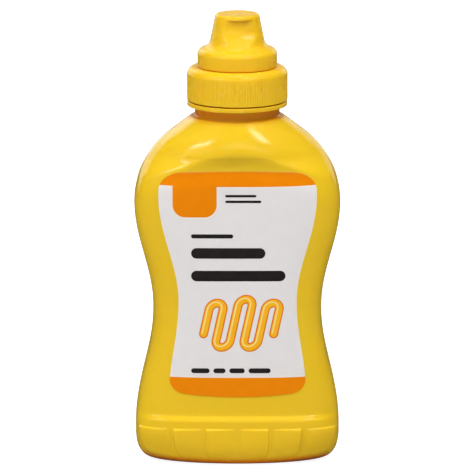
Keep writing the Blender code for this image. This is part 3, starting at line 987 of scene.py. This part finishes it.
def ribbon_mesh(name, path, width, lift, thickness, facing):
    """A thin band along a path on the wall."""
    bm = bmesh.new()
    rows = [[bm.verts.new((p.x, 0.0, p.y)) for p in row] for row in ribbon_mesh_points(path, width)]
    for lower, upper in zip(rows, rows[1:]):
        for i in range(2):
            bm.faces.new((lower[i], lower[i + 1], upper[i + 1], upper[i]))
    return layer_mesh(name, bm, lift, thickness, facing)


def add_print(side, name, mesh, material):
    """Adds a finished layer to a label; a side is the label's node and the way it faces."""
    piece = finish_piece(name, mesh, material, side[0])
    shade_round(piece, PRINT_SHARP_DEG)


def add_drawing(side, name, outlines, lift, thickness, material):
    """Adds a layer with the given outlines to a label."""
    add_print(side, name, drawn_mesh(name, outlines, lift, thickness, side[1]), material)


def make_front_label(stock, field, orange, ink, bead):
    """The front label as a thin sheet with its print in thin layers on it."""
    lift = LABEL_LIFT
    add_drawing(FRONT, "front_sheet", [label_outline()], lift, LABEL_THICKNESS, stock)
    lift += LABEL_THICKNESS
    layers = (
        ("front_field", field_outline(), field),
        ("front_band_top", top_band_outline(), orange),
        ("front_band_bottom", bottom_band_outline(), orange),
    )
    for name, outline, material in layers:
        add_drawing(FRONT, name, [outline], lift, PRINT_THICKNESS, material)
    lift += PRINT_STEP
    bars = [bar_outline(*bar) for bar in BOLD_BARS + LIGHT_BARS]
    add_drawing(FRONT, "front_bars", bars, lift, PRINT_THICKNESS, ink)
    middle = wave_path()
    shine = [point + Vector(WAVE_SHINE_OFFSET) for point in middle]
    ribbons = zip((middle, middle, shine), WAVE_WIDTHS, bead)
    for i, (path, width, material) in enumerate(ribbons):
        name = f"front_wave_{i + 1}"
        mesh = ribbon_mesh(name, path, width, lift + i * PRINT_STEP, PRINT_THICKNESS, FRONT[1])
        add_print(FRONT, name, mesh, material)


def back_bars():
    """Outlines of the rows of bars on the back label."""
    bars = []
    for row in range(BACK_ROWS):
        z = BACK_TOP_Z - BACK_PITCH * row
        reach = label_half_width(z) - BACK_MARGIN
        start = mix(-reach, reach, BACK_CUT_SHARE * (row % BACK_LENGTHS))
        bars.append(bar_outline(start, reach, z, BACK_BAR_HEIGHT))
    return bars


def make_back_label(stock, field, orange, ink):
    """The back label, plain: the same sheet and bands, with rows of thin bars."""
    lift = LABEL_LIFT
    add_drawing(BACK, "back_sheet", [label_outline()], lift, LABEL_THICKNESS, stock)
    lift += LABEL_THICKNESS
    layers = (
        ("back_field", field_outline(tabbed=False), field),
        ("back_band_top", top_band_outline(tabbed=False), orange),
        ("back_band_bottom", bottom_band_outline(), orange),
    )
    for name, outline, material in layers:
        add_drawing(BACK, name, [outline], lift, PRINT_THICKNESS, material)
    lift += PRINT_STEP
    add_drawing(BACK, "back_bars", back_bars(), lift, PRINT_THICKNESS, ink)


def new_material(name):
    material = bpy.data.materials.new(name)
    material.use_nodes = True
    return material, material.node_tree.nodes, material.node_tree.links


def add_noise(nodes, links, scale, detail):
    """A noise texture in the object's own coordinates; scale is features a metre."""
    place = nodes.new("ShaderNodeTexCoord")
    noise = nodes.new("ShaderNodeTexNoise")
    noise.inputs["Scale"].default_value = scale
    noise.inputs["Detail"].default_value = detail
    links.new(place.outputs["Object"], noise.inputs["Vector"])
    return noise.outputs["Fac"]


def add_range(nodes, links, value, low, high):
    """Spreads a noise's middle values between two numbers."""
    spread_out = nodes.new("ShaderNodeMapRange")
    spread_out.inputs["From Min"].default_value = NOISE_MIDDLE[0]
    spread_out.inputs["From Max"].default_value = NOISE_MIDDLE[1]
    spread_out.inputs["To Min"].default_value = low
    spread_out.inputs["To Max"].default_value = high
    links.new(value, spread_out.inputs["Value"])
    return spread_out.outputs["Result"]


def add_tones(nodes, links, value, first, second):
    """A colour between two tones, by a noise value; the colours are linear."""
    tones = nodes.new("ShaderNodeMix")
    tones.data_type = "RGBA"
    tones.inputs["A"].default_value = (*first, 1.0)
    tones.inputs["B"].default_value = (*second, 1.0)
    links.new(value, tones.inputs["Factor"])
    return tones.outputs["Result"]


def add_bumps(nodes, links, layers):
    """Bump from several noises, each as (scale, detail, height in millimetres)."""
    normal = None
    for scale, detail, height in layers:
        bump = nodes.new("ShaderNodeBump")
        bump.inputs["Strength"].default_value = 1.0
        bump.inputs["Distance"].default_value = height * MM
        links.new(add_noise(nodes, links, scale, detail), bump.inputs["Height"])
        if normal is not None:
            links.new(normal, bump.inputs["Normal"])
        normal = bump.outputs["Normal"]
    return normal


def add_recess_shade(nodes, links):
    """How far a place is shut in by what is near it, for painting shade there: 0 in the open, 1 deep in
    a narrow recess.
    """
    opening = nodes.new("ShaderNodeAmbientOcclusion")
    opening.samples = RECESS_SAMPLES
    opening.inputs["Distance"].default_value = RECESS_REACH * MM
    depth = nodes.new("ShaderNodeMapRange")
    depth.inputs["From Min"].default_value = RECESS_OPEN
    depth.inputs["From Max"].default_value = RECESS_SHUT
    links.new(opening.outputs["AO"], depth.inputs["Value"])
    return depth.outputs["Result"]


def add_neck_shade_share(nodes, links):
    """How far painted shadow from the closure deepens the tone by height, up the bottle's neck."""
    place = nodes.new("ShaderNodeTexCoord")
    parts = nodes.new("ShaderNodeSeparateXYZ")
    share = nodes.new("ShaderNodeMapRange")
    share.inputs["From Min"].default_value = NECK_SHADE_FROM_Z * MM
    share.inputs["From Max"].default_value = NECK_SHADE_FULL_Z * MM
    share.inputs["To Max"].default_value = NECK_SHADE_DEPTH
    links.new(place.outputs["Object"], parts.inputs["Vector"])
    links.new(parts.outputs["Z"], share.inputs["Value"])
    return share.outputs["Result"]


def link_roughness(nodes, links, noise, middle, span):
    """Gives the surface a roughness that strays round a middle value."""
    value = add_noise(nodes, links, *noise)
    roughness = add_range(nodes, links, value, middle + span[0], middle + span[1])
    links.new(roughness, nodes["Principled BSDF"].inputs["Roughness"])


def plastic(name, tones, roughness, bumps, neck_shaded=False):
    """A glossy moulded plastic, faintly cloudy in colour and gloss, with painted shade deepening its
    tone in recesses.
    """
    material, nodes, links = new_material(name)
    shader = nodes["Principled BSDF"]
    cloud = add_range(nodes, links, add_noise(nodes, links, *CLOUD_NOISE), 0.0, 1.0)
    # The colour mixes towards a painted shade tone where walls shut a place in and, on the bottle, up
    # the neck
    colour = nodes.new("ShaderNodeMix")
    colour.data_type = "RGBA"
    colour.inputs["B"].default_value = (*PAINTED_SHADE_TONE, 1.0)
    links.new(add_tones(nodes, links, cloud, *tones), colour.inputs["A"])
    depth = add_recess_shade(nodes, links)
    # On the bottle, painted shadow from the closure also deepens the neck's tone
    if neck_shaded:
        either = nodes.new("ShaderNodeMath")
        either.operation = "MAXIMUM"
        links.new(depth, either.inputs[0])
        links.new(add_neck_shade_share(nodes, links), either.inputs[1])
        depth = either.outputs["Value"]
    links.new(depth, colour.inputs["Factor"])
    links.new(colour.outputs["Result"], shader.inputs["Base Color"])
    link_roughness(nodes, links, HAZE_NOISE, roughness, PLASTIC_ROUGHNESS_SPAN)
    links.new(add_bumps(nodes, links, bumps), shader.inputs["Normal"])
    shader.inputs["IOR"].default_value = PLASTIC_IOR
    shader.inputs["Subsurface Weight"].default_value = SUBSURFACE_WEIGHT
    shader.inputs["Subsurface Radius"].default_value = SUBSURFACE_RADIUS
    shader.inputs["Subsurface Scale"].default_value = SUBSURFACE_SCALE * MM
    return material


def printed(name, tones, roughness):
    """Ink or coated label stock with a faint mottle and a soft sheen."""
    material, nodes, links = new_material(name)
    shader = nodes["Principled BSDF"]
    mottle = add_range(nodes, links, add_noise(nodes, links, *MOTTLE_NOISE), 0.0, 1.0)
    links.new(add_tones(nodes, links, mottle, *tones), shader.inputs["Base Color"])
    link_roughness(nodes, links, GLOSS_NOISE, roughness, PRINT_ROUGHNESS_SPAN)
    links.new(add_bumps(nodes, links, PRINT_BUMPS), shader.inputs["Normal"])
    shader.inputs["IOR"].default_value = PRINT_IOR
    shader.inputs["Specular IOR Level"].default_value = PRINT_SHINE
    return material


def grey(value):
    """A colour without hue."""
    return (value, value, value, 1.0)


def glow(nodes, strength):
    """A plain white emission."""
    shader = nodes.new("ShaderNodeEmission")
    shader.inputs["Strength"].default_value = strength
    return shader.outputs["Emission"]


def floor_material():
    """White to the eye with a faint shade under things; it lights matt surfaces and isn't mirrored."""
    material, nodes, links = new_material("floor_white")
    nodes.remove(nodes["Principled BSDF"])
    matt = nodes.new("ShaderNodeBsdfDiffuse")
    matt.inputs["Color"].default_value = grey(FLOOR_TONE)
    seen = nodes.new("ShaderNodeAddShader")
    links.new(glow(nodes, FLOOR_GLOW), seen.inputs[0])
    links.new(matt.outputs["BSDF"], seen.inputs[1])
    sight = nodes.new("ShaderNodeLightPath")
    thrown = nodes.new("ShaderNodeMixShader")
    bounced = nodes.new("ShaderNodeBsdfDiffuse")
    bounced.inputs["Color"].default_value = grey(FLOOR_BOUNCE)
    links.new(sight.outputs["Is Diffuse Ray"], thrown.inputs["Fac"])
    links.new(glow(nodes, FLOOR_SHINE), thrown.inputs[1])
    links.new(bounced.outputs["BSDF"], thrown.inputs[2])
    either = nodes.new("ShaderNodeMixShader")
    links.new(sight.outputs["Is Camera Ray"], either.inputs["Fac"])
    links.new(thrown.outputs["Shader"], either.inputs[1])
    links.new(seen.outputs["Shader"], either.inputs[2])
    links.new(either.outputs["Shader"], nodes["Material Output"].inputs["Surface"])
    return material


def make_floor():
    """A wide pale floor."""
    bm = bmesh.new()
    bmesh.ops.create_circle(bm, cap_ends=True, segments=FLOOR_SIDES, radius=FLOOR_RADIUS)
    mesh = bpy.data.meshes.new("floor")
    bm.to_mesh(mesh)
    bm.free()
    floor = bpy.data.objects.new("floor", mesh)
    floor.location.z = -FLOOR_DROP
    bpy.context.scene.collection.objects.link(floor)
    mesh.materials.append(floor_material())


def aim(thing, target):
    """Turns a light or the camera towards a place."""
    sight = Vector(target) - thing.location
    thing.rotation_euler = sight.to_track_quat("-Z", "Y").to_euler()


def add_softbox(name, azimuth_deg, elevation_deg, size, power):
    """A rectangular soft light in a direction, turned to the bottle; size in metres, power in watts."""
    azimuth = math.radians(azimuth_deg)
    elevation = math.radians(elevation_deg)
    across = math.cos(elevation)
    out = Vector((math.sin(azimuth) * across, -math.cos(azimuth) * across, math.sin(elevation)))
    light = bpy.data.lights.new(name, "AREA")
    light.shape = "RECTANGLE"
    light.size, light.size_y = size
    light.energy = power
    lamp = bpy.data.objects.new(name, light)
    lamp.location = Vector(LIGHT_CENTRE) + out * LIGHT_DISTANCE
    aim(lamp, LIGHT_CENTRE)
    lamp.visible_camera = False
    bpy.context.scene.collection.objects.link(lamp)
    return lamp


def make_lights():
    """Fill boxes light the matt surfaces, and gloss boxes only give the highlights."""
    for i, (azimuth, elevation, power) in enumerate(FILL_BOXES):
        lamp = add_softbox(f"fill_box_{i + 1}", azimuth, elevation, FILL_SIZE, power)
        lamp.visible_glossy = False
    for i, (azimuth, elevation, size, power) in enumerate(GLOSS_BOXES):
        lamp = add_softbox(f"gloss_box_{i + 1}", azimuth, elevation, size, power)
        lamp.visible_diffuse = False


def make_room():
    """White surroundings that light matt surfaces and aren't mirrored."""
    world = bpy.data.worlds.new("studio")
    bpy.context.scene.world = world
    world.use_nodes = True
    nodes = world.node_tree.nodes
    background = nodes["Background"]
    background.inputs["Color"].default_value = grey(1.0)
    sight = nodes.new("ShaderNodeLightPath")
    strength = nodes.new("ShaderNodeMapRange")
    strength.inputs["To Min"].default_value = ROOM_BOUNCE
    strength.inputs["To Max"].default_value = ROOM_GLOW
    world.node_tree.links.new(sight.outputs["Is Camera Ray"], strength.inputs["Value"])
    world.node_tree.links.new(strength.outputs["Result"], background.inputs["Strength"])
    world.cycles_visibility.glossy = False


def make_camera():
    """The camera in front of the bottle, a little above it."""
    camera = bpy.data.objects.new("camera", bpy.data.cameras.new("camera"))
    elevation = math.radians(CAMERA_ELEVATION_DEG)
    back = Vector((0.0, -math.cos(elevation), math.sin(elevation)))
    camera.location = Vector(CAMERA_AIM) + back * CAMERA_DISTANCE
    camera.data.lens = CAMERA_LENS
    aim(camera, CAMERA_AIM)
    bpy.context.scene.collection.objects.link(camera)
    bpy.context.scene.camera = camera


def main():
    bottle_yellow = plastic("bottle_yellow", BOTTLE_TONES, BOTTLE_ROUGHNESS, WALL_BUMPS, True)
    closure_yellow = plastic("closure_yellow", CLOSURE_TONES, CLOSURE_ROUGHNESS, CAP_BUMPS)
    stock = printed("label_stock", STOCK_TONES, STOCK_ROUGHNESS)
    field = printed("label_field", FIELD_TONES, STOCK_ROUGHNESS)
    orange = printed("orange_ink", ORANGE_TONES, COLOUR_ROUGHNESS)
    ink = printed("dark_ink", INK_TONES, STOCK_ROUGHNESS)
    bead = (
        printed("bead_edge", BEAD_EDGE_TONES, COLOUR_ROUGHNESS),
        printed("bead_gold", BEAD_GOLD_TONES, COLOUR_ROUGHNESS),
        printed("bead_shine", BEAD_SHINE_TONES, COLOUR_ROUGHNESS),
    )
    make_bottle(bottle_yellow)
    make_tamper_ring(closure_yellow)
    make_collar(closure_yellow)
    make_lid(closure_yellow)
    make_hinge(closure_yellow)
    make_front_label(stock, field, orange, ink, bead)
    make_back_label(stock, field, orange, ink)
    make_floor()
    make_lights()
    make_room()
    make_camera()
    bpy.context.scene.view_settings.view_transform = "Standard"


main()
